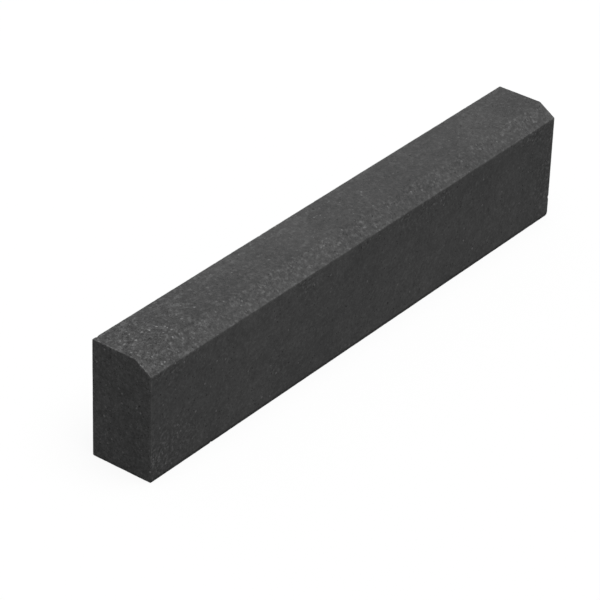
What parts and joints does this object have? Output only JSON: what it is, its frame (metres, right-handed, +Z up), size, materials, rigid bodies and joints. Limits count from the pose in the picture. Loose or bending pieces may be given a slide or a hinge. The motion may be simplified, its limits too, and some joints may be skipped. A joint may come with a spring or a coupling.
{
  "type": "concrete edging kerb",
  "caption": "Straight precast concrete edging kerb with a splayed front top edge, square butt ends and a flat bed.",
  "frame": {"origin": "centre of the underside, midway between the end faces and between front and back", "axes": "+X along the kerb's length, -Y the exposed front with the splay above it, +Y the back, +Z up"},
  "size_m": [1, 0.11, 0.2],
  "materials": {
    "facing_mix": "anthracite pigmented fine concrete, vibropressed, matt, fine light aggregate flecks, small pores",
    "core_mix": "anthracite pigmented coarser backing concrete, vibropressed, matt, slightly open and pitted"
  },
  "bodies": {
    "root": {"facing_concrete": "facing_mix", "core_concrete": "core_mix"}
  },
  "joints": []
}
